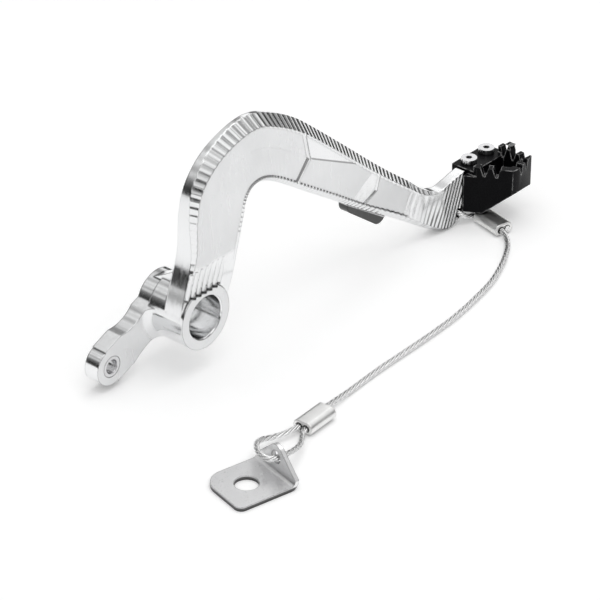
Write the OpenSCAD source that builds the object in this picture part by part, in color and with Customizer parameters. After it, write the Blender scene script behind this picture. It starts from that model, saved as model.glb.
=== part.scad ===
// Rear brake pedal for an off-road motorcycle, with a toothed toe piece and a safety cable.
// Origin: middle of the pivot bore, in the plane of the arm's outer face.
// X points forward to the toe piece, -Y points away from the motorcycle, Z is up. Millimetres.

/* [Pivot boss] */
// Diameter of the pivot bore
bore_d = 18; // [14:0.5:20]
// Wall of the boss round the bore
boss_wall = 4.6; // [3.5:0.1:6]
// How far the boss ring stands proud of the arm's outer face
ring_proud = 1; // [0.4:0.1:2]
// Distance from the arm's outer face to the tail lever
lever_offset = 17.5; // [14:0.5:24]
// Height of the shoulder that stops the pivot sleeve at the inner end of the bore
shoulder_h = 1.2; // [0.5:0.1:2]
// Thickness of that shoulder
shoulder_t = 2.5; // [1.5:0.5:5]

/* [Arm] */
// Forward place of the arch's top
arch_x = 34; // [28:1:42]
// Height of the arch above the bore
arch_z = 74; // [66:1:84]
// Thickness of the arm at the boss
arm_t = 10; // [8:0.5:13]
// Thickness of the arm at its front end
tab_t = 6.5; // [5.5:0.5:8]
// How far the front end is set outwards from the arm's face
tab_jog = 5; // [2:0.5:8]
// Forward place of the front end's rear corner
tab_x = 142; // [132:1:155]
// Height of the front end's flat top
tab_z = -2.8; // [-6:0.2:2]
// Width of the scalloped bevel on the arch
bevel_w = 4.5; // [2:0.5:6]
// Depth of the valley between the two outer facets
valley_d = 1.6; // [0.5:0.1:2.5]
// Depth of the pockets milled into the outer face
pocket_d = 0.6; // [0.3:0.1:1]
// Distance from one milled scallop to the next
scallop_pitch = 3.1; // [2.6:0.1:5]
// Depth of the scallops
scallop_d = 0.22; // [0.1:0.02:0.5]
// Distance from one groove of the front end to the next
groove_pitch = 2.3; // [2:0.1:4]

/* [Tail lever] */
// Thickness of the tail lever
lever_t = 7; // [5:0.5:10]
// Distance from the bore back to the brake rod hole
rod_x = 34; // [26:1:42]
// Distance from the bore down to the brake rod hole
rod_z = 14; // [8:1:20]
// Radius of the lever's tip
tip_r = 8; // [7:0.5:11]
// Outside diameter of the steel insert
insert_d = 9; // [7:0.5:11]
// Hole through the steel insert
rod_hole_d = 6; // [4:0.5:7]

/* [Toe piece] */
// Depth of the toe piece's wall beside the arm
step_h = 17; // [13:0.5:20]
// Thickness of the toe piece's walls
step_wall = 3.2; // [2.4:0.2:4]
// Height of the teeth
tooth_h = 5; // [3:0.5:7]
// Distance from tooth to tooth
tooth_pitch = 5.2; // [4.6:0.1:8]
// Thickness of the plate that the screws hold
pad_t = 4; // [3:0.5:6]
// Depth of the toe piece's walls, without the teeth, at their outer end
step_tip_h = 6.6; // [6:0.2:12]
// Distance between the two screws
screw_gap = 12; // [10:0.5:14]
// Diameter of the screw heads
screw_head_d = 7; // [6:0.5:8]
// Height of the screw heads
screw_head_h = 2.4; // [1.6:0.2:3]
// Diameter of the screw shanks
screw_d = 4; // [3:0.5:5]
// Length of the screw shanks
screw_len = 10; // [7:0.5:12]

/* [Safety cable] */
// Diameter of the cable
cable_d = 2.5; // [2:0.1:2.8]
// Length of the ferrules
ferrule_l = 15.5; // [12:0.5:18]
// Width of the ferrules
ferrule_w = 9.2; // [7.8:0.2:10]
// Thickness of the ferrules
ferrule_t = 5.2; // [4.4:0.2:5.6]

/* [End bracket] */
// Thickness of the bracket's sheet
plate_t = 1.8; // [1.2:0.1:2.4]
// Width of the bracket
plate_w = 24.6; // [20:0.2:28]
// Length of the bracket's flat
plate_l = 27; // [25:1:36]
// Bolt hole in the bracket
bolt_hole_d = 9.5; // [6:0.5:11]
// Distance from the fold to the bolt hole
bolt_hole_u = 15.2; // [13:0.2:18]
// Height of the folded tab above the bracket's underside
flap_h = 13.5; // [12:0.5:16]
// Cable hole in the folded tab
eye_hole_d = 5.4; // [4.4:0.2:6]

/* [Hidden] */
$fn = 64;
// Room left where a blind cut runs past a surface
over = 1;
// Running clearance round screws and the cable
clearance = 0.15;
// Gap between the toe piece's frame and the arm's front end
seat_gap = 0.3;

// Boss and tail lever
boss_r = bore_d / 2 + boss_wall;
lever_y = lever_offset + lever_t;
lever_eye_r = boss_r - 1.4;
rod_at = [-rod_x, -rod_z];
flare_r = 4;
mouth = 0.6;

// Ground plane that the loose cable and bracket lie on
ground_z = -24.2;

// Front end of the arm, and how far the tongue under the toe piece is set in from its faces
tab_yf = -tab_jog;
tongue_in = 0.4;
tab_end_x = tab_x + 16.5;
tongue_top = tab_z - tongue_in;
tongue_h = 12;
tongue_end_x = tab_end_x + 21;
tongue_root = 4;
cable_hole = [tab_x + 12.5, tab_z - 15.8];
cable_hole_d = 4;

// Toe piece
pad_top = tongue_top + pad_t;
pad_x0 = tab_end_x + 0.5;
pad_x1 = pad_x0 + 23;
screw_x0 = pad_x0 + 5.5;
screw_y = tab_yf + tab_t / 2;
// Hexagon socket: across its corners, and depth
socket_d = 2.9;
socket_h = 1.6;
wall_top = pad_top - 2.2;
step_bottom = wall_top - step_h;

// Sections along the arm. Each line holds outer edge x, z, inner edge x, z, face y, thickness,
// outer bevel, inner bevel, valley depth and pocket depth.
ax = arch_x;
az = arch_z;
tx = tab_x;
tz = tab_z;
arm_keys = [
    [-boss_r, -2, boss_r, -2, 0, arm_t, 0.4, 0.6, 0, 0],
    [-boss_r + 1.2, 6, boss_r + 1, 4, 0, arm_t, 0.5, 0.8, 0, 0],
    [-boss_r + 4.2, 15, boss_r + 4.4, 11.5, 0, arm_t, 0.8, 1, 0, 0],
    [ax - 39, az - 46, ax - 12.5, az - 51, 0, arm_t, 1.4, 1.2, 0.3, pocket_d],
    [ax - 38.6, az - 29, ax - 9.2, az - 40.5, 0, arm_t - 1, 2.2, 1.4, 0.9, pocket_d],
    [ax - 35.6, az - 17, ax - 7.2, az - 34, 0, arm_t - 1.6, 3, 1.6, 1.2, pocket_d],
    [ax - 26, az - 6.6, ax - 4.4, az - 30.6, 0, arm_t - 2, 4, 1.8, 1.5, pocket_d],
    [ax - 12, az - 0.6, ax - 0.2, az - 29.6, 0, arm_t - 2.4, bevel_w, 2, valley_d, pocket_d],
    [ax, az, ax + 4.6, az - 30.4, 0, arm_t - 2.4, bevel_w, 2, valley_d, pocket_d],
    [ax + 12, az - 4.4, ax + 10.6, az - 33.4, 0, arm_t - 2.4, bevel_w, 2, valley_d, pocket_d],
    [ax + 24, az - 11, ax + 19, az - 38.8, 0, arm_t - 2.4, bevel_w, 2, 1.2, pocket_d],
    [ax + 34.5, az - 19, ax + 27.5, az - 44.6, 0, arm_t - 2.4, bevel_w - 0.4, 2, 0.6, pocket_d],
    [ax + 55, az - 36.2, ax + 44, az - 55.6, 0, arm_t - 2.6, bevel_w - 1, 2, 0.3, pocket_d],
    [ax + 77, az - 54.8, ax + 63, az - 68.4, 0, arm_t - 2.8, bevel_w - 1.5, 2, 0.3, pocket_d],
    [tx - 14, tz + 8.6, tx - 22, tz - 6, -0.1 * tab_jog, tab_t + 0.6, bevel_w - 2, 2, 0.2, pocket_d],
    [tx - 5.5, tz + 1.4, tx - 10.5, tz - 13.6, -0.4 * tab_jog, tab_t + 0.2, 1.6, 1.8, 0.1, 0],
    [tx + 0.5, tz - 0.4, tx, tz - 19.6, -0.85 * tab_jog, tab_t, 0.8, 1.4, 0, 0],
    [tx + 6, tz + 0.8, tx + 7.5, tz - 21.2, tab_yf, tab_t, 0.5, 1, 0, 0],
    [tx + 12, tz + 2, tx + 13.2, tz - 19, tab_yf, tab_t, 0.5, 0.8, 0, 0],
    [tx + 16.5, tz + 2.8, tx + 17.5, tz - 16.2, tab_yf, tab_t, 0.5, 0.8, 0, 0]];
// Where the valley lies across the arm, from the inner edge
valley_at = 0.5;
// Bevel on the arm's inboard edges
back_bevel = 1;
// Width of the rim between a bevel and the pocket
rim_w = 0.9;
// Least dip of a face that is nearly flat
crown = 0.03;
// Bevels narrower than this have no scallops
plain_bevel = 0.7;
// Range of sections, by number, whose face has ridges across it
ridged = [14.1, 15.9];
// Grooves beside the boss: the mill's radius, count, pitch, depth, lean and ends
fine_r = 1.5;
fine_count = 8;
fine_pitch = 3.1;
fine_d = 0.7;
fine_lean = 20;
fine_z0 = boss_r - 2.5;
fine_z1 = boss_r + 8.5;
// Grooves of the front end: the mill's radius, depth, lean, length and the width they cover
tab_cut_r = 1;
tab_cut_d = 0.35;
tab_cut_lean = 20;
tab_cut_l = 32;
tab_cut_w = 20;
// Ribs between the pockets: place along the arm, and how far the middle bows forward
ribs = [[10.35, 7], [12.95, 3.5]];
rib_half = 0.8;
bow_reach = 9;
// Stop lug on the arm's underside: middle of each round end
lug_a = [ax + 60, az - 64.5];
lug_b = [ax + 76, az - 76.5];
lug_r = 4.5;
// Width of the rib between arm and tail lever
rib_w = 5;

// Route of the cable's middle line, from the upper dead end to the lower dead end
cable_route = [
    [161.6, -25.7, -21.4], [163.9, -16.4, -21.4], [165.1, -11.5, -21.4], [166, -6, -21.9],
    [165.4, 1, -22.2], [162.6, 6.2, -22], [158.4, 8.4, -20.9], [155.2, 5.6, -19.3],
    [154.5, 0.5, -18.6], [154.7, -4.3, -18.8], [156.2, -7, -19.8], [158.9, -7.4, -20.9],
    [161.4, -8.5, -21.4], [162.1, -11, -21.4], [161.4, -13.8, -21.4], [158.6, -24.4, -21.4],
    [156.2, -29, -22.2], [151.4, -33.4, -22.8], [142.4, -38.6, -22.8], [131.5, -43.4, -22.8],
    [119, -47.2, -22.8], [95, -51.3, -22.8], [72, -52.7, -22.8], [44, -53.3, -22.8],
    [24, -54.5, -22.8], [6.05, -56.3, -21.4], [-5, -56.9, -21.4], [-9.8, -57, -21.4],
    [-15.5, -56.3, -21.6], [-21.5, -54.6, -21.4], [-28, -54, -19.6], [-34, -57.2, -17.1],
    [-38.8, -62.8, -16.2], [-39.2, -67.8, -16.2], [-35.6, -70, -16], [-29.5, -70.2, -17.2],
    [-21, -67.4, -19.6], [-14.5, -63, -21.2], [-9.6, -60.3, -21.4], [6.6, -59.5, -21.4]];
cable_sides = 8;

// Ferrules: middle, and turn about Z of the barrel's length from X
bore_gap = 3.25;
upper_at = [162, -17.4, -21.4];
upper_turn = 76;
lower_at = [-1.6, -58.3, -21.4];
lower_turn = 3;

// Bracket: middle of the fold line at ground level, and turn of its flat from -X
fold_at = [-34.8, -69.7, ground_z];
fold_turn = 166.6;
eye_hole_z = 8.2;
// Inner radius of the bracket's fold
bend_r = 2;
// Radii of the flat's two corners and of the tab's top
wide_r = 8;
tight_r = 3;
flap_r = 4.5;

// Point on a smooth curve through the list k, at place i plus share f of a step
function pick(k, i) = k[max(0, min(len(k) - 1, i))];
function smooth(k, i, f) =
    let (a = pick(k, i - 1), b = pick(k, i), c = pick(k, i + 1), d = pick(k, i + 2))
    0.5 * (2 * b + (c - a) * f + (2 * a - 5 * b + 4 * c - d) * f * f
           + (3 * b - a - 3 * c + d) * f * f * f);
function smooth_all(k, n) =
    [for (i = [0 : len(k) - 2], j = [0 : n - 1]) smooth(k, i, j / n), k[len(k) - 1]];

// Skin of quads over rings of m points, with flat ends
function skin_faces(n, m) = concat(
    [[for (j = [0 : m - 1]) j]],
    [for (i = [0 : n - 2], j = [0 : m - 1])
        [i * m + j, (i + 1) * m + j, (i + 1) * m + (j + 1) % m, i * m + (j + 1) % m]],
    [[for (j = [m - 1 : -1 : 0]) (n - 1) * m + j]]);

// Section of the arm at place t, counted in lines of the table
function section(t) = smooth(arm_keys, floor(t), t - floor(t));
function outer_edge(t) = let (s = section(t)) [s[0], s[1]];

// Length along the outer edge, with the place it belongs to
places = [for (i = [0 : 8 * (len(arm_keys) - 1)]) i / 8];
edge_run = [for (i = 0, d = 0; i < len(places); i = i + 1,
                 d = d + (i < len(places) ? norm(outer_edge(places[i]) - outer_edge(places[i - 1])) : 0))
            [d, places[i]]];
edge_length = edge_run[len(edge_run) - 1][0];
scallop_count = round(edge_length / scallop_pitch);

// The same section with a scallop's share c, 0 on a crest and 1 in the hollow
function milled(s, t, c) =
    let (cut = 1.4 * scallop_d * c,
         ridge = t > ridged[0] && t < ridged[1] ? scallop_d * c : 0)
    [s[0], s[1], s[2], s[3], s[4] + ridge, s[5] - ridge,
     s[6] + cut * min(1, max(0, s[6] - plain_bevel)), s[7] + cut * min(1, max(0, s[7] - plain_bevel)),
     s[8], s[9]];

// Length along the outer edge to place t, and the way forward there
function run_at(t) = lookup(t, [for (e = edge_run) [e[1], e[0]]]);
function heading(t) =
    let (d = outer_edge(min(t + 0.1, len(arm_keys) - 1.0001)) - outer_edge(max(0, t - 0.1)))
    d / norm(d);

// The face's middle at place t: how far it bows forward, and whether it lies on a rib
function bow(t) =
    [for (v = ribs) let (u = (run_at(t) - run_at(v[0])) / bow_reach) v[1] * exp(-u * u)]
    * [for (v = ribs) 1];
function on_rib(t) =
    len([for (v = ribs) if (abs(run_at(t) - run_at(v[0])) < rib_half) 1]) > 0;

// One section of the arm, from a line of the table, at place t
function arm_ring(s, t) =
    let (inner = [s[2], s[3]], across = [s[0], s[1]] - inner, w = norm(across), e = across / w,
         yf = s[4], yb = s[4] + s[5], dip = on_rib(t) ? crown : max(s[9], crown),
         ahead = bow(t) * heading(t),
         pts = [[0, yb - back_bevel], [back_bevel, yb], [w - back_bevel, yb], [w, yb - back_bevel],
                [w, yf + s[6]], [w - s[6], yf], [w - s[6] - rim_w, yf + dip],
                [valley_at * w, yf + dip + max(s[8], crown)], [s[7] + rim_w, yf + dip],
                [s[7], yf], [0, yf + s[7]]])
    [for (i = [0 : len(pts) - 1])
        let (p = pts[i], f = i == 7 ? ahead : [0, 0])
        [inner[0] + e[0] * p[0] + f[0], p[1], inner[1] + e[1] * p[0] + f[1]]];

// Ring of the cable at point i of the list p
function cable_ring(p, i) =
    let (a = p[max(0, i - 1)], b = p[min(len(p) - 1, i + 1)], t = (b - a) / norm(b - a),
         side = cross(t, [0, 0, 1]) / norm(cross(t, [0, 0, 1])), top = cross(side, t))
    [for (j = [0 : cable_sides - 1])
        p[i] + cable_d / 2 * (cos(j * 360 / cable_sides) * side - sin(j * 360 / cable_sides) * top)];

// Cylinder that runs along Y from y0 to y1
module bar(r, y0, y1) {
    translate([0, y1, 0]) rotate([90, 0, 0]) cylinder(r = r, h = y1 - y0);
}

// Flat outline in X and Z, from y0 to y1
module slab(y0, y1) {
    translate([0, y1, 0]) rotate([90, 0, 0]) linear_extrude(y1 - y0) children();
}

// The swept arm without its boss
module arm_body() {
    rings = [for (n = [0 : 3 * scallop_count])
             let (t = min(lookup(n * edge_length / (3 * scallop_count), edge_run),
                          len(arm_keys) - 1.0001))
             arm_ring(milled(section(t), t, n % 3 == 0 ? 0 : 1), t)];
    pts = [for (r = rings, p = r) p];
    polyhedron(points = pts, faces = skin_faces(len(rings), 11), convexity = 6);
}

// Grooves that run up the face just above the boss
module fine_grooves() {
    for (n = [0 : fine_count - 1])
        translate([(n - (fine_count - 1) / 2) * fine_pitch - 2.2, fine_d - fine_r, fine_z0])
            rotate([0, fine_lean, 0]) cylinder(r = fine_r, h = fine_z1 - fine_z0, $fn = 32);
}

// Slanted grooves over the front end's outer face
module tab_grooves() {
    for (n = [0 : floor(tab_cut_w / groove_pitch)])
        translate([tab_x - 6 + n * groove_pitch, tab_yf - tab_cut_d, tab_z - 26])
            rotate([0, tab_cut_lean, 0]) cylinder(r = tab_cut_r, h = tab_cut_l, $fn = 24);
}

// Lug on the underside that meets the pedal's stop
module stop_lug() {
    d = lug_b - lug_a;
    slab(2.5, arm_t - 2.8) {
        for (p = [lug_a, lug_b]) translate(p) circle(r = lug_r);
        translate(lug_a) rotate(atan2(d[1], d[0])) translate([0, -lug_r])
            square([norm(d), 2 * lug_r]);
    }
}

// Rib from the back of the arm down to the tail lever
module gusset() {
    translate([-rib_w / 2 - 2, 0, 0]) rotate([90, 0, 90]) linear_extrude(rib_w)
        polygon([[arm_t - 1, boss_r - 2], [arm_t - 1, boss_r + 8], [arm_t + 2, boss_r + 4],
                 [lever_y - lever_t, boss_r + 0.6], [lever_y - 2, boss_r - 2]]);
}

// Outline of the tail lever, round its tip and round the boss
module lever_outline() {
    // Half width of the waist, and the radii of the hollows below and above it
    neck = 6.6;
    under_r = 15;
    above_r = 27;
    reach = norm(rod_at);
    difference() {
        union() {
            translate(rod_at) circle(r = tip_r);
            circle(r = lever_eye_r);
            rotate(180 + atan2(rod_z, rod_x)) translate([0, -neck - 2]) square([reach, 2 * neck + 4]);
        }
        rotate(180 + atan2(rod_z, rod_x)) {
            translate([reach * 0.55, -neck - under_r - 0.2]) circle(r = under_r);
            translate([reach * 0.46, neck + above_r + 0.4]) circle(r = above_r);
        }
    }
}

// Concave flare where the boss runs out into the tail lever
module lever_flare() {
    intersection() {
        translate([0, lever_offset, 0]) rotate([90, 0, 0]) rotate_extrude() difference() {
            square([boss_r + flare_r, flare_r]);
            translate([boss_r + flare_r, flare_r]) circle(r = flare_r);
        }
        slab(lever_offset - flare_r, lever_offset) lever_outline();
    }
}

// Tongue that the toe piece is screwed to
module tongue() {
    translate([tab_end_x - tongue_root, tab_yf + tongue_in, tongue_top - tongue_h])
        cube([tongue_end_x - tab_end_x + tongue_root, tab_t - 2 * tongue_in, tongue_h]);
}

module pedal_arm() color("gainsboro") {
    difference() {
        union() {
            arm_body();
            stop_lug();
            gusset();
            tongue();
            lever_flare();
            bar(boss_r, -ring_proud, lever_offset);
            slab(lever_offset, lever_y) lever_outline();
        }
        fine_grooves();
        tab_grooves();
        bar(bore_d / 2, -ring_proud - over, lever_y - shoulder_t);
        translate([0, -ring_proud - 0.01, 0]) rotate([-90, 0, 0])
            cylinder(r1 = bore_d / 2 + mouth, r2 = bore_d / 2, h = mouth);
        bar(bore_d / 2 - shoulder_h, 0, lever_y + over);
        translate([rod_at[0], 0, rod_at[1]])
            bar(insert_d / 2, lever_offset - over, lever_y + over);
        translate([cable_hole[0], 0, cable_hole[1]])
            bar(cable_hole_d / 2, tab_yf - over, tab_yf + tab_t + over);
        for (i = [0, 1])
            translate([screw_x0 + i * screw_gap, screw_y, tongue_top - screw_len])
                cylinder(d = screw_d, h = screw_len + over);
    }
}

module lever_insert() color("silver") {
    translate([rod_at[0], 0, rod_at[1]]) difference() {
        bar(insert_d / 2, lever_offset, lever_y);
        bar(rod_hole_d / 2, lever_offset - over, lever_y + over);
    }
}

// Plan of the toe piece's frame, seen from above
rear_in = [tab_end_x - 2.2, tab_yf - seat_gap];
rear_out = rear_in + [10, -18.6];
rear_corner = rear_out + [3.4, -0.6];
front_out = rear_out + [16, 2.4];
front_in = [rear_in[0] + 27, tab_yf - seat_gap];
// The underside rises outboard of this
slope_from = 7.4;
// Tall tooth on the front wall: its outboard side, from the wall's inboard end, and width
tall_at = 7;
tall_w = 3.4;
// Teeth: half the flat at a cut's root, half a tooth's flat top, and the root's height
tooth_root = 0.4;
tooth_top = 0.3;
tooth_lift = 0.9;
// How far the screwed pad stands past the tongue on each side
pad_side = 1.5;

module frame_plan() polygon([rear_in, rear_out, rear_corner, front_out, front_in]);

// V cuts across a wall from p to q in plan, which leave teeth between them
module tooth_cuts(p, q, from, lift) {
    d = q - p;
    count = floor(norm(d) * (1 - from) / tooth_pitch);
    translate([p[0], p[1], 0]) rotate([0, 0, atan2(d[1], d[0])])
        for (n = [0 : count - 1])
            translate([norm(d) * from + (n + 0.5) * tooth_pitch, step_wall + over, wall_top + lift])
                rotate([90, 0, 0]) linear_extrude(step_wall + 2 * over)
                polygon([[-tooth_root, 0], [tooth_root, 0],
                         [tooth_pitch / 2 - tooth_top, tooth_h + over],
                         [-tooth_pitch / 2 + tooth_top, tooth_h + over]]);
}

module step_tip() color("#1a1a1c") {
    slope = atan((step_h - step_tip_h) / (rear_in[1] - rear_out[1] - slope_from));
    difference() {
        union() {
            translate([0, 0, step_bottom])
                linear_extrude(wall_top + tooth_h - step_bottom) frame_plan();
            translate([pad_x0, tab_yf - pad_side, tongue_top])
                cube([pad_x1 - pad_x0, tab_t + 2 * pad_side, pad_t]);
            // Tall tooth at the front wall's inboard end
            translate([front_in[0] - step_wall, front_in[1] - tall_at, tongue_top])
                cube([step_wall, tall_w, wall_top + tooth_h + 2 - tongue_top]);
        }
        // Open middle
        translate([0, 0, step_bottom - over])
            linear_extrude(step_h + tooth_h + 2 * over) offset(delta = -step_wall) frame_plan();
        // Walls without teeth
        translate([rear_in[0] - over, front_in[1] - step_wall - 0.01, pad_top])
            cube([front_in[0] - rear_in[0] - step_wall + over, 20, tooth_h + over]);
        translate([rear_in[0] - over, rear_in[1] - slope_from, wall_top + 0.4])
            cube([pad_x0 - rear_in[0] + over, 9, tooth_h + over]);
        tooth_cuts(rear_in, rear_out, 0.3, tooth_lift);
        tooth_cuts(rear_corner, front_out, 0, tooth_lift);
        tooth_cuts(front_out, front_in, 0, tooth_lift);
        // Underside slopes up towards the outer end
        translate([rear_in[0] - 5, rear_in[1] - slope_from, step_bottom])
            rotate([-slope, 0, 0]) translate([0, -40, -20]) cube([40, 40, 20]);
        for (i = [0, 1])
            translate([screw_x0 + i * screw_gap, screw_y, tongue_top - over])
                cylinder(d = screw_d, h = pad_t + 2 * over);
    }
}

module step_screws() color("silver") {
    for (i = [0, 1])
        translate([screw_x0 + i * screw_gap, screw_y, 0]) difference() {
            union() {
                translate([0, 0, pad_top - screw_len])
                    cylinder(d = screw_d - 2 * clearance, h = screw_len);
                translate([0, 0, pad_top]) cylinder(d = screw_head_d, h = screw_head_h);
            }
            translate([0, 0, pad_top + screw_head_h - socket_h])
                cylinder(d = socket_d, h = socket_h + over, $fn = 6);
        }
}

module safety_cable() color("lightgray") {
    p = smooth_all(cable_route, 2);
    pts = [for (i = [0 : len(p) - 1]) each cable_ring(p, i)];
    polyhedron(points = pts, faces = skin_faces(len(p), cable_sides), convexity = 8);
}

// Double-barrel sleeve pressed round two runs of cable
module ferrule(turn) {
    rotate([0, 0, turn]) rotate([0, 90, 0]) difference() {
        translate([0, 0, -ferrule_l / 2]) linear_extrude(ferrule_l) {
            square([ferrule_t, ferrule_w - ferrule_t], center = true);
            for (s = [-1, 1]) translate([0, s * (ferrule_w - ferrule_t) / 2])
                circle(d = ferrule_t);
        }
        for (s = [-1, 1]) translate([0, s * bore_gap / 2, -ferrule_l / 2 - over])
            cylinder(d = cable_d + clearance, h = ferrule_l + 2 * over);
    }
}

module upper_ferrule() color("silver") translate(upper_at) ferrule(upper_turn);

module lower_ferrule() color("silver") translate(lower_at) ferrule(lower_turn);

// Section of the folded sheet, and the outlines of its bolt flat and its upright tab
module fold_section() {
    corner = bend_r + plate_t;
    translate([corner, 0]) square([plate_l, plate_t]);
    translate([0, corner]) square([plate_t, flap_h]);
    intersection() {
        square(corner);
        translate([corner, corner]) difference() {
            circle(r = corner);
            circle(r = bend_r);
        }
    }
}

module flat_outline() hull() {
    translate([0, -plate_w / 2]) square([1, plate_w]);
    translate([plate_l - wide_r, -plate_w / 2 + wide_r]) circle(r = wide_r);
    translate([plate_l - tight_r, plate_w / 2 - tight_r]) circle(r = tight_r);
}

module tab_outline() hull() {
    translate([-plate_w / 2, 0]) square([plate_w, bend_r + plate_t]);
    translate([0, flap_h - flap_r]) circle(r = flap_r);
}

// Folded sheet bracket: bolt flat and upright tab
module end_bracket() color("gainsboro") translate(fold_at) rotate([0, 0, fold_turn]) {
    difference() {
        intersection() {
            translate([0, plate_w / 2, 0]) rotate([90, 0, 0]) linear_extrude(plate_w) fold_section();
            union() {
                linear_extrude(bend_r + plate_t) flat_outline();
                rotate([90, 0, 90]) linear_extrude(bend_r + plate_t) tab_outline();
            }
        }
        translate([bolt_hole_u, 0, -over]) cylinder(d = bolt_hole_d, h = plate_t + 2 * over);
        translate([-over, 0, eye_hole_z]) rotate([0, 90, 0])
            cylinder(d = eye_hole_d, h = plate_t + 2 * over);
    }
}

pedal_arm();
lever_insert();
step_tip();
step_screws();
safety_cable();
upper_ferrule();
lower_ferrule();
end_bracket();
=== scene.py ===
"""Looks of a rear brake pedal: polished aluminium arm, black toe piece and steel safety cable."""

import math

import bmesh
import bpy
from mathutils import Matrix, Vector


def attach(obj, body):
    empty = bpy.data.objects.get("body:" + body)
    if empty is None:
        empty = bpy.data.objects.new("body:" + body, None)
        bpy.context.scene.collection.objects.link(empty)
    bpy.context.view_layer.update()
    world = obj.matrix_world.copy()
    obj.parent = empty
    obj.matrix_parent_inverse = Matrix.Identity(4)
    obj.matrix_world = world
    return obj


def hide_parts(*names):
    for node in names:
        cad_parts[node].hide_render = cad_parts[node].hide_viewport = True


MM = 0.001

# The photograph's view
VIEW_AZIMUTH = -50
VIEW_ELEVATION = 30
CAMERA_DISTANCE = 1200 * MM
CAMERA_STANDS_OFF = Vector((70, -10, 15)) * MM
FRAME_CENTRE = Vector((48.1, -7.8, -11.5)) * MM
LENS_MM = 180
CLIP_END = 20

# Cable, ferrules and ground, as in the part's source, in millimetres
GROUND_Z = -24.2
CABLE_D = 2.5
CABLE_ROUTE = [
    (161.6, -25.7, -21.4), (163.9, -16.4, -21.4), (165.1, -11.5, -21.4), (166, -6, -21.9),
    (165.4, 1, -22.2), (162.6, 6.2, -22), (158.4, 8.4, -20.9), (155.2, 5.6, -19.3),
    (154.5, 0.5, -18.6), (154.7, -4.3, -18.8), (156.2, -7, -19.8), (158.9, -7.4, -20.9),
    (161.4, -8.5, -21.4), (162.1, -11, -21.4), (161.4, -13.8, -21.4), (158.6, -24.4, -21.4),
    (156.2, -29, -22.2), (151.4, -33.4, -22.8), (142.4, -38.6, -22.8), (131.5, -43.4, -22.8),
    (119, -47.2, -22.8), (95, -51.3, -22.8), (72, -52.7, -22.8), (44, -53.3, -22.8),
    (24, -54.5, -22.8), (6.05, -56.3, -21.4), (-5, -56.9, -21.4), (-9.8, -57, -21.4),
    (-15.5, -56.3, -21.6), (-21.5, -54.6, -21.4), (-28, -54, -19.6), (-34, -57.2, -17.1),
    (-38.8, -62.8, -16.2), (-39.2, -67.8, -16.2), (-35.6, -70, -16), (-29.5, -70.2, -17.2),
    (-21, -67.4, -19.6), (-14.5, -63, -21.2), (-9.6, -60.3, -21.4), (6.6, -59.5, -21.4)]
ROUTE_STEPS = 14

# Lay of the wire rope
OUTER_STRANDS = 6
STRAND_TURN = 19
STRAND_SIDES = 7
CORE_SIDES = 6
# The outer strands press a little into the core and into each other
STRAND_SINK = 0.98
STRAND_SWELL = 1.02

# Grooves over the arm's front end: pitch, X of one groove at Z 0, and lean from the vertical
GROOVE_PITCH = 2.3
GROOVE_START = 146.48
GROOVE_LEAN = -0.364

# Directions on the arm's outer face, as shares of X and Z
DOWN_ARM = (0.697, -0.717)
PAST_FIRST_RIB = (0.97, 0.244)
OVER_LINE = (0.44, 0.897)
PAST_BAND_START = (0.521, -0.853)
PAST_SECOND_RIB = (0.645, -0.764)
OVER_LUG = (0.66, 1.0)

# Where the cosine between the flat and the rounded normal marks an edge, and where it doesn't
EDGE_COSINES = (0.88, 0.975)
EDGE_SAMPLES = 6
HOLLOW_SAMPLES = 8
USUAL_NOISE = (0.3, 0.7)

# Shading by angle, in degrees
SHARP_ANGLE = {"pedal_arm": 17}
USUAL_SHARP_ANGLE = 30
SOFT_EDGE_ANGLE = 32
SOFT_EDGE_SEGMENTS = 2
SOFT_EDGES_MM = {"step_tip": 0.25, "end_bracket": 0.25, "lever_insert": 0.2,
                 "upper_ferrule": 0.4, "lower_ferrule": 0.4, "step_screws": 0.35}
WELD_MM = 0.002

# Floor and studio
FLOOR_HALF_WIDTH = 3
FLOOR_GAP_MM = 0.1
FLOOR_TONE = 0.93
FLOOR_GLOW = 0.2
# Brightness of the studio by height, from the horizon and below at 0 to straight up at 1
WALL_TONES = ((0.0, 0.03), (0.2, 0.05), (0.42, 0.6), (0.6, 1.0), (1.0, 0.85))
WALL_NOISE = {"Scale": 2.6, "Detail": 2}
WALL_UNEVENNESS = {"From Min": 0.38, "From Max": 0.58, "To Min": 0.3, "To Max": 1.12}
# Place and target in metres, sides in metres, power in watts
LAMPS = {
    "key_top": ((0.1, -0.1, 1.1), (0.07, 0, 0), (1.2, 0.9), 4.2),
    "left_front": ((-1.0, -0.9, 0.7), (0.05, 0, 0), (0.5, 0.9), 1.2),
    "right_back": ((1.1, 0.6, 0.8), (0.05, 0, 0), (0.6, 0.9), 1.5),
}


def smooth_route(points, steps):
    """Points of the smooth curve that part.scad draws through its route, in metres."""
    out = []
    keys = [Vector(p) * MM for p in points]
    for i in range(len(keys) - 1):
        a, b, c, d = (keys[max(0, min(len(keys) - 1, i + k))] for k in (-1, 0, 1, 2))
        for j in range(steps):
            f = j / steps
            out.append(0.5 * (2 * b + (c - a) * f + (2 * a - 5 * b + 4 * c - d) * f * f
                              + (3 * b - a - 3 * c + d) * f ** 3))
    out.append(keys[-1])
    return out


def new_object(name, data):
    obj = bpy.data.objects.new(name, data)
    bpy.context.scene.collection.objects.link(obj)
    return obj


# Materials

def grey(tone):
    return (tone, tone, tone)


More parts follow.
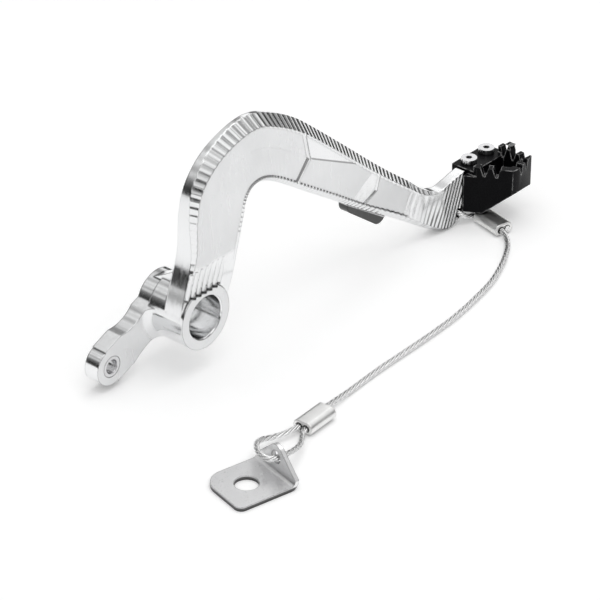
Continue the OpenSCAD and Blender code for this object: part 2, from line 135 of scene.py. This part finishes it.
class Nodes:
    """A node material under construction. Its masks run from 0 to 1."""

    def __init__(self, name, **values):
        self.material = bpy.data.materials.new(name)
        self.material.use_nodes = True
        self.tree = self.material.node_tree
        self.shader = self.tree.nodes["Principled BSDF"]
        for key, value in values.items():
            self.shader.inputs[key.replace("_", " ")].default_value = value

    def add(self, kind, **values):
        node = self.tree.nodes.new(kind)
        for key, value in values.items():
            if key in node.inputs:
                node.inputs[key].default_value = value
            else:
                setattr(node, key, value)
        return node

    def link(self, source, target):
        self.tree.links.new(source, target)

    def shade(self, socket, source):
        """Feeds a socket of the shader."""
        self.link(source, self.shader.inputs[socket])

    def axes(self, kind):
        """X, Y and Z of the texture coordinates of a kind."""
        coords, split = self.add("ShaderNodeTexCoord"), self.add("ShaderNodeSeparateXYZ")
        self.link(coords.outputs[kind], split.inputs[0])
        return split.outputs

    def place(self, scale=(1, 1, 1), turn=(0, 0, 0)):
        """Object coordinates, stretched and turned."""
        coords = self.add("ShaderNodeTexCoord")
        mapping = self.add("ShaderNodeMapping", Scale=scale, Rotation=turn)
        self.link(coords.outputs["Object"], mapping.inputs["Vector"])
        return mapping.outputs["Vector"]

    def noise(self, scale, detail=3, vector=None):
        node = self.add("ShaderNodeTexNoise", Scale=scale, Detail=detail, Roughness=0.5)
        self.link(vector or self.place(), node.inputs["Vector"])
        return node.outputs["Fac"]

    def math(self, operation, *values):
        node = self.add("ShaderNodeMath", operation=operation)
        for slot, value in zip(node.inputs, values):
            if isinstance(value, float):
                slot.default_value = value
            else:
                self.link(value, slot)
        return node.outputs[0]

    def ramp(self, source, low, high, low_at, high_at):
        """The source spread over a range, from low to high."""
        node = self.add("ShaderNodeMapRange")
        for key, value in (("From Min", low_at), ("From Max", high_at),
                           ("To Min", low), ("To Max", high)):
            node.inputs[key].default_value = value
        self.link(source, node.inputs["Value"])
        return node.outputs["Result"]

    def spread(self, noise, low, high):
        """A noise's usual values spread from low to high."""
        return self.ramp(noise, low, high, *USUAL_NOISE)

    def past(self, length, start, end):
        """Mask of the lengths beyond a soft edge, in millimetres."""
        return self.ramp(length, 0, 1, start * MM, end * MM)

    def before(self, length, start, end):
        """Mask of the lengths short of a soft edge, in millimetres."""
        return self.ramp(length, 1, 0, start * MM, end * MM)

    def every(self, mask, *others):
        for other in others:
            mask = self.math("MULTIPLY", mask, other)
        return mask

    def either(self, mask, *others):
        for other in others:
            mask = self.math("MAXIMUM", mask, other)
        return mask

    def without(self, mask, other):
        return self.math("MULTIPLY", mask, self.math("SUBTRACT", 1.0, other))

    def along(self, x, z, x_share, z_share):
        """Distance along a direction that has these shares of X and Z."""
        return self.math("ADD", self.math("MULTIPLY", x, x_share),
                         self.math("MULTIPLY", z, z_share))

    def mix(self, factor, first, second):
        """Mix of two plain colours."""
        node = self.add("ShaderNodeMix", data_type="RGBA")
        node.inputs[6].default_value = (*first, 1)
        node.inputs[7].default_value = (*second, 1)
        self.link(factor, node.inputs[0])
        return node.outputs[2]

    def blend(self, factor, first, second):
        """Mix of two colours that come from nodes."""
        node = self.add("ShaderNodeMix", data_type="RGBA")
        self.link(factor, node.inputs[0])
        self.link(first, node.inputs[6])
        self.link(second, node.inputs[7])
        return node.outputs[2]

    def scale(self, colour, tone):
        node = self.add("ShaderNodeVectorMath", operation="SCALE")
        self.link(colour, node.inputs[0])
        self.link(tone, node.inputs["Scale"])
        return node.outputs[0]

    def paint_hollow_shade(self, colour, reach, least, deep, open_at):
        """Painted shade: the colour times least where a hollow is this deep, and as it is where
        it is open.
        """
        hollow = self.add("ShaderNodeAmbientOcclusion", Distance=reach * MM)
        hollow.samples = HOLLOW_SAMPLES
        return self.scale(colour, self.ramp(hollow.outputs["AO"], least, 1, deep, open_at))

    def paint_dark_edges(self, colour, radius, least):
        """Painted dark reflections: the colour, times least along the edges of the piece."""
        return self.scale(colour, self.ramp(self.edges(radius), 1, least, 0, 1))

    def rounded(self, radius):
        """Normals that run round the edges of the piece."""
        node = self.add("ShaderNodeBevel", Radius=radius * MM)
        node.samples = EDGE_SAMPLES
        return node.outputs["Normal"]

    def edges(self, radius):
        """Mask of the edges of the piece."""
        node = self.add("ShaderNodeVectorMath", operation="DOT_PRODUCT")
        self.link(self.rounded(radius), node.inputs[0])
        self.link(self.add("ShaderNodeNewGeometry").outputs["True Normal"], node.inputs[1])
        return self.ramp(node.outputs["Value"], 1, 0, *EDGE_COSINES)

    def bump(self, height, strength, depth, normal=None):
        node = self.add("ShaderNodeBump", Strength=strength, Distance=depth * MM)
        self.link(height, node.inputs["Height"])
        if normal:
            self.link(normal, node.inputs["Normal"])
        self.shade("Normal", node.outputs["Normal"])


def pocket_masks(n, x, y, z):
    """Satin floors of the arm's pockets, less a painted bright facet and band, and the painted
    shade line across the second one.
    """
    # The face runs outboard towards the front end, so the pockets' floors do too
    down_arm = n.along(x, z, *DOWN_ARM)
    jog = n.math("ADD", n.ramp(down_arm, 0, 0.5 * MM, 66 * MM, 87 * MM),
                 n.ramp(down_arm, 0, 0.64 * MM, 87 * MM, 94 * MM))
    sunk = n.past(n.math("ADD", y, jog), 0.4, 0.52)
    above_boss, past_arch = n.past(z, 21, 22.5), n.past(x, 45, 48)
    behind_tab = n.before(down_arm, 92, 93)
    floors = n.every(sunk, n.either(above_boss, past_arch), behind_tab)
    # Over the painted shade line lies a facet, and a band lies before the third pocket; both are
    # left polished as painted highlights
    over_line = n.along(x, z, *OVER_LINE)
    beside_rib = n.past(n.along(x, z, *PAST_FIRST_RIB), 73.4, 73.8)
    # A thin painted shade line across the second pocket's floor
    painted_shade_line = n.every(n.past(over_line, 66.5, 66.7), n.before(over_line, 67.2, 67.4), beside_rib,
                   n.math("MULTIPLY", floors, 0.6))
    painted_highlight_facet = n.every(n.past(over_line, 67.2, 67.6), beside_rib)
    painted_highlight_band = n.every(n.past(n.along(x, z, *PAST_BAND_START), 36, 36.5),
                   n.before(n.along(x, z, *PAST_SECOND_RIB), 57.3, 57.8))
    return n.without(floors, n.either(painted_highlight_facet, painted_highlight_band)), painted_shade_line


def painted_groove_shade(n, x, y, z, facing_y):
    """Painted shade in the bottoms of the grooves over the front end, and painted shade lines
    like them over the bend.
    """
    bottoms = n.every(n.past(y, -4.56, -4.46), n.before(y, -4.3, -4.2), n.past(x, 144.5, 145.5),
                      n.ramp(facing_y, 1, 0, -0.6, -0.4))
    # The same painted shade lines run on over the bend, where the face falls away behind the
    # grooves
    turn = math.tau / GROOVE_PITCH
    across = n.along(x, z, turn / MM, GROOVE_LEAN * turn / MM)
    wave = n.math("COSINE", n.math("SUBTRACT", across, GROOVE_START * turn))
    lines = n.every(n.ramp(wave, 0, 0.9, 0.1, 0.6), n.before(z, -15, -4), n.past(x, 130, 138),
                    n.before(x, 144.5, 145.5), n.ramp(facing_y, 1, 0, -0.8, -0.6))
    return n.either(bottoms, lines)


def polished_aluminium():
    """Bright milled metal, with satin floors in the pockets of the outer face, painted highlights
    on parts of them, painted shade and painted dark edge reflections.
    """
    n = Nodes("polished_aluminium", Metallic=1.0)
    x, y, z = n.axes("Object")
    facing_y = n.axes("Normal")["Y"]
    outward = n.ramp(facing_y, 1, 0, -0.985, -0.9)
    floors, painted_shade_line = pocket_masks(n, x, y, z)
    boss_ring = n.every(n.before(y, -0.8, -0.5), n.before(x, 30, 40))
    tail_lever = n.past(y, 16.5, 17)
    satin_at = n.every(outward, n.either(floors, boss_ring, tail_lever))
    # The stop lug is all that lies below the line of the arm's lower edge, and it gets painted
    # shade
    lug = n.every(n.before(n.along(x, z, *OVER_LUG), 69.1, 69.4), n.past(x, 70, 75))
    # Painted shade on the lug, in the grooves and along the line across the second pocket
    painted_shade_at = n.either(lug, painted_groove_shade(n, x, y, z, facing_y), n.every(painted_shade_line, outward))

    tone = n.noise(30, 4)
    bright = n.mix(tone, (0.79, 0.795, 0.8), (0.91, 0.915, 0.92))
    satin = n.mix(n.noise(60, 5), (0.7, 0.705, 0.71), (0.82, 0.825, 0.83))
    # Near-black colour of the painted shade
    dark = n.mix(tone, grey(0.05), grey(0.12))
    metal = n.blend(painted_shade_at, n.blend(satin_at, bright, satin), dark)
    # Painted shade in hollows and creases, then painted dark reflections along the edges
    metal = n.paint_hollow_shade(metal, 5, 0.25, 0.25, 0.75)
    metal = n.paint_hollow_shade(metal, 0.9, 0.15, 0.62, 0.95)
    n.shade("Base Color", n.paint_dark_edges(metal, 0.4, 0.3))

    brushed = n.noise(700, vector=n.place((1, 1, 0.06), (0, 0.6, 0)))
    matt, polish = n.spread(brushed, 0.26, 0.36), n.spread(brushed, 0.1, 0.2)
    n.shade("Roughness", n.math("ADD", n.every(matt, satin_at), n.without(polish, satin_at)))
    n.bump(brushed, 0.035, 0.04, n.rounded(0.7))
    return n.material


def black_anodised():
    """Black, with edges painted bright: partly rubbed wear, partly painted glints."""
    n = Nodes("black_anodised", Metallic=0.0, Specular_IOR_Level=0.06)
    tone = n.noise(60, 4)
    black = n.mix(tone, (0.0015, 0.0015, 0.002), (0.004, 0.004, 0.005))
    # Bright edges in patches, partly wear and partly painted glints
    worn_and_glint_edges = n.every(n.edges(0.8), n.ramp(n.noise(320), 0.1, 1, 0.42, 0.56))
    n.shade("Base Color", n.blend(worn_and_glint_edges, black, n.mix(tone, grey(0.25), grey(0.6))))
    grain = n.noise(2500)
    n.shade("Roughness", n.spread(grain, 0.2, 0.36))
    n.bump(grain, 0.15, 0.03)
    return n.material


def plated_steel():
    """Bright sheet, darker on its upright sides near the floor, with painted shade in hollows and
    painted dark edges.
    """
    n = Nodes("plated_steel", Metallic=1.0)
    upright = n.ramp(n.math("ABSOLUTE", n.axes("Normal")["Z"]), 1, 0, 0.3, 0.6)
    # Upright sides within about 1.5 mm of the floor are made darker
    darker_low_sides = n.every(upright, n.before(n.axes("Object")["Z"], GROUND_Z + 1.3, GROUND_Z + 1.6))
    tone = n.noise(90, 4)
    plated = n.mix(tone, grey(0.78), (0.92, 0.92, 0.93))
    plated = n.blend(darker_low_sides, plated, n.mix(tone, grey(0.12), grey(0.22)))
    # Painted shade in hollows and near the floor, then painted dark reflections along the edges
    plated = n.paint_hollow_shade(plated, 3, 0.15, 0.4, 0.85)
    n.shade("Base Color", n.paint_dark_edges(plated, 0.55, 0.3))
    grain = n.noise(1800)
    n.shade("Roughness", n.spread(grain, 0.26, 0.42))
    n.bump(grain, 0.12, 0.04)
    return n.material


def screw_steel():
    """Turned steel, with fine rings."""
    n = Nodes("screw_steel", Metallic=1.0)
    turned = n.add("ShaderNodeTexWave", wave_type="RINGS", rings_direction="Z", Scale=600)
    n.link(n.place(), turned.inputs["Vector"])
    rings = turned.outputs["Fac"]
    steel = n.mix(rings, (0.62, 0.62, 0.63), (0.78, 0.78, 0.79))
    # Painted shade in hollows such as the sockets
    n.shade("Base Color", n.paint_hollow_shade(steel, 1.5, 0.03, 0.5, 0.9))
    n.shade("Roughness", n.spread(n.noise(1200), 0.16, 0.3))
    n.bump(rings, 0.05, 0.02)
    return n.material


def ferrule_metal():
    """Pressed sleeve, slightly dented."""
    n = Nodes("ferrule_metal", Metallic=1.0)
    tone = n.noise(250, 4)
    pressed = n.mix(tone, (0.8, 0.8, 0.79), (0.94, 0.94, 0.93))
    # Painted shade in hollows, then painted dark reflections along the edges
    pressed = n.paint_hollow_shade(pressed, 1.5, 0.15, 0.35, 0.8)
    n.shade("Base Color", n.paint_dark_edges(pressed, 0.7, 0.4))
    n.shade("Roughness", n.spread(n.noise(1500), 0.3, 0.5))
    n.bump(tone, 0.2, 0.1)
    return n.material


def strand_steel():
    """Bright drawn wire, with painted shade between the strands."""
    n = Nodes("strand_steel", Metallic=1.0)
    tone = n.noise(1500, 2)
    wire = n.mix(tone, grey(0.8), grey(0.96))
    # Painted shade between the strands
    n.shade("Base Color", n.paint_hollow_shade(wire, 0.8, 0.3, 0.2, 0.65))
    n.shade("Roughness", n.spread(tone, 0.2, 0.36))
    return n.material


# Pieces

def strand(mesh, path, offset, radius, start_angle, turn_length, sides):
    """Adds one wire strand, which winds round the path, to the bmesh."""
    rings = []
    run = 0
    for i, point in enumerate(path):
        a, b = path[max(0, i - 1)], path[min(len(path) - 1, i + 1)]
        along = (b - a).normalized()
        side = along.cross(Vector((0, 0, 1))).normalized()
        up = side.cross(along)
        if i:
            run += (point - path[i - 1]).length
        angle = start_angle + math.tau * run / turn_length
        out = math.cos(angle) * side + math.sin(angle) * up
        across = along.cross(out)
        centre = point + offset * out
        ring = []
        for k in range(sides):
            t = math.tau * k / sides
            spoke = math.cos(t) * out + math.sin(t) * across
            ring.append(mesh.verts.new(centre + radius * spoke))
        rings.append(ring)
    for a, b in zip(rings, rings[1:]):
        for k in range(sides):
            corners = (a[k], a[(k + 1) % sides], b[(k + 1) % sides], b[k])
            mesh.faces.new(corners).smooth = True
    mesh.faces.new(rings[0][::-1])
    mesh.faces.new(rings[-1])


def wire_rope(name, path, diameter):
    """Six strands laid round a core."""
    mesh = bmesh.new()
    radius = diameter / 6
    strand(mesh, path, offset=0, radius=radius, start_angle=0, turn_length=1, sides=CORE_SIDES)
    for k in range(OUTER_STRANDS):
        strand(mesh, path, offset=2 * radius * STRAND_SINK, radius=radius * STRAND_SWELL,
               start_angle=math.tau * k / OUTER_STRANDS, turn_length=STRAND_TURN * MM,
               sides=STRAND_SIDES)
    data = bpy.data.meshes.new(name)
    bmesh.ops.recalc_face_normals(mesh, faces=mesh.faces)
    mesh.to_mesh(data)
    mesh.free()
    return new_object(name, data)


def smooth_by_angle(obj, degrees):
    """Round stretches shade smoothly, and edges sharper than this stay crisp."""
    weld = obj.modifiers.new("weld", "WELD")
    weld.merge_threshold = WELD_MM * MM
    group = bpy.data.node_groups.new(obj.name + "_shading", "GeometryNodeTree")
    for way in ("INPUT", "OUTPUT"):
        group.interface.new_socket("Geometry", in_out=way, socket_type="NodeSocketGeometry")
    start, end = group.nodes.new("NodeGroupInput"), group.nodes.new("NodeGroupOutput")
    plain = group.nodes.new("GeometryNodeRemoveAttribute")
    plain.inputs["Name"].default_value = "custom_normal"
    faces, edges = (group.nodes.new("GeometryNodeSetShadeSmooth") for _ in range(2))
    faces.domain, edges.domain = "FACE", "EDGE"
    angle = group.nodes.new("GeometryNodeInputMeshEdgeAngle")
    limit = group.nodes.new("FunctionNodeCompare")
    limit.operation = "LESS_THAN"
    limit.inputs[1].default_value = math.radians(degrees)
    group.links.new(angle.outputs["Unsigned Angle"], limit.inputs[0])
    group.links.new(limit.outputs[0], edges.inputs["Shade Smooth"])
    faces.inputs["Shade Smooth"].default_value = True
    for source, target in ((start, plain), (plain, faces), (faces, edges), (edges, end)):
        group.links.new(source.outputs[0], target.inputs[0])
    obj.modifiers.new("shading", "NODES").node_group = group


def soften(obj, width):
    """Small round edges that catch the light, on a piece of the frame."""
    bevel = obj.modifiers.new("soft_edges", "BEVEL")
    bevel.width = width
    bevel.segments = SOFT_EDGE_SEGMENTS
    bevel.limit_method = "ANGLE"
    bevel.angle_limit = math.radians(SOFT_EDGE_ANGLE)
    bevel.harden_normals = False


# Stage

def build_floor():
    mesh = bmesh.new()
    bmesh.ops.create_grid(mesh, x_segments=1, y_segments=1, size=FLOOR_HALF_WIDTH)
    data = bpy.data.meshes.new("floor")
    mesh.to_mesh(data)
    mesh.free()
    floor = new_object("floor", data)
    floor.location = (0, 0, (GROUND_Z - FLOOR_GAP_MM) * MM)
    n = Nodes("floor_white", Base_Color=(*grey(FLOOR_TONE), 1), Roughness=1.0,
              Specular_IOR_Level=0.0, Emission_Color=(1, 1, 1, 1))
    # White to the camera and in mirrors, without more light on the object
    rays = n.add("ShaderNodeLightPath").outputs
    seen = n.either(rays["Is Camera Ray"], rays["Is Glossy Ray"], rays["Is Transmission Ray"])
    n.shade("Emission Strength", n.math("MULTIPLY", seen, FLOOR_GLOW))
    data.materials.append(n.material)


def build_camera():
    azimuth, elevation = math.radians(VIEW_AZIMUTH), math.radians(VIEW_ELEVATION)
    toward = Vector((math.sin(azimuth) * math.cos(elevation),
                     -math.cos(azimuth) * math.cos(elevation), math.sin(elevation)))
    data = bpy.data.cameras.new("camera")
    data.lens = LENS_MM
    data.clip_end = CLIP_END
    camera = new_object("camera", data)
    camera.location = CAMERA_STANDS_OFF + CAMERA_DISTANCE * toward
    aim = FRAME_CENTRE - camera.location
    camera.rotation_euler = aim.to_track_quat("-Z", "Y").to_euler()
    bpy.context.scene.camera = camera


def area_light(name, place, target, size, power):
    data = bpy.data.lights.new(name, "AREA")
    data.shape = "RECTANGLE"
    data.size, data.size_y = size
    data.energy = power
    light = new_object(name, data)
    light.location = place
    light.rotation_euler = (Vector(target) - light.location).to_track_quat("-Z", "Y").to_euler()


def build_world():
    """White to the camera, and a softly lit studio with a dark horizon to everything else."""
    world = bpy.data.worlds.new("studio")
    world.use_nodes = True
    bpy.context.scene.world = world
    tree = world.node_tree
    tree.nodes.clear()

    def add(kind, **values):
        node = tree.nodes.new(kind)
        for key, value in values.items():
            node.inputs[key].default_value = value
        return node

    coords, split = add("ShaderNodeTexCoord"), add("ShaderNodeSeparateXYZ")
    tree.links.new(coords.outputs["Generated"], split.inputs[0])
    ramp = add("ShaderNodeValToRGB")
    elements = ramp.color_ramp.elements
    for height, tone in WALL_TONES:
        # The ramp comes with elements at both of its ends
        ends = [element for element in elements if element.position == height]
        element = ends[0] if ends else elements.new(height)
        element.color = (*grey(tone), 1)
    tree.links.new(split.outputs["Z"], ramp.inputs["Fac"])
    # Uneven walls, so that polished metal has something to mirror
    walls = add("ShaderNodeTexNoise", **WALL_NOISE)
    uneven = add("ShaderNodeMapRange", **WALL_UNEVENNESS)
    scaled = add("ShaderNodeVectorMath")
    scaled.operation = "SCALE"
    tree.links.new(coords.outputs["Generated"], walls.inputs["Vector"])
    tree.links.new(walls.outputs["Fac"], uneven.inputs["Value"])
    tree.links.new(ramp.outputs["Color"], scaled.inputs[0])
    tree.links.new(uneven.outputs["Result"], scaled.inputs["Scale"])
    studio = add("ShaderNodeBackground", Strength=1.0)
    tree.links.new(scaled.outputs[0], studio.inputs["Color"])
    plain = add("ShaderNodeBackground", Color=(1, 1, 1, 1), Strength=1.0)
    rays, mix = add("ShaderNodeLightPath"), add("ShaderNodeMixShader")
    out = add("ShaderNodeOutputWorld")
    tree.links.new(rays.outputs["Is Camera Ray"], mix.inputs[0])
    tree.links.new(studio.outputs[0], mix.inputs[1])
    tree.links.new(plain.outputs[0], mix.inputs[2])
    tree.links.new(mix.outputs[0], out.inputs["Surface"])


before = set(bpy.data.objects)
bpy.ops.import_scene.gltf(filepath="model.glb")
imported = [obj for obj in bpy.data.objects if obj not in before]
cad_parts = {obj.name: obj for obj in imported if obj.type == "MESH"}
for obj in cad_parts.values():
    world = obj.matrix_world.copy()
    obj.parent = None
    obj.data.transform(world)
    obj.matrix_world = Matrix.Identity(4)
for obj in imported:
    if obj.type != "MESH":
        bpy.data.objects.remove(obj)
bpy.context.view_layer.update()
build_camera()

route = smooth_route(CABLE_ROUTE, ROUTE_STEPS)
cable = wire_rope("cable_strands", route, CABLE_D * MM)
cable.data.materials.append(strand_steel())
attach(cable, "pedal")
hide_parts("safety_cable")

FINISHES = {
    "pedal_arm": polished_aluminium(),
    "lever_insert": screw_steel(),
    "step_tip": black_anodised(),
    "step_screws": screw_steel(),
    "upper_ferrule": ferrule_metal(),
    "lower_ferrule": ferrule_metal(),
    "end_bracket": plated_steel(),
}
for name, material in FINISHES.items():
    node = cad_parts[name]
    node.data.materials.clear()
    node.data.materials.append(material)
    smooth_by_angle(node, SHARP_ANGLE.get(name, USUAL_SHARP_ANGLE))
    if name in SOFT_EDGES_MM:
        soften(node, SOFT_EDGES_MM[name] * MM)

build_floor()
build_world()
for name, (place, target, size, power) in LAMPS.items():
    area_light(name, place, target, size, power)
bpy.context.scene.view_settings.view_transform = "Standard"
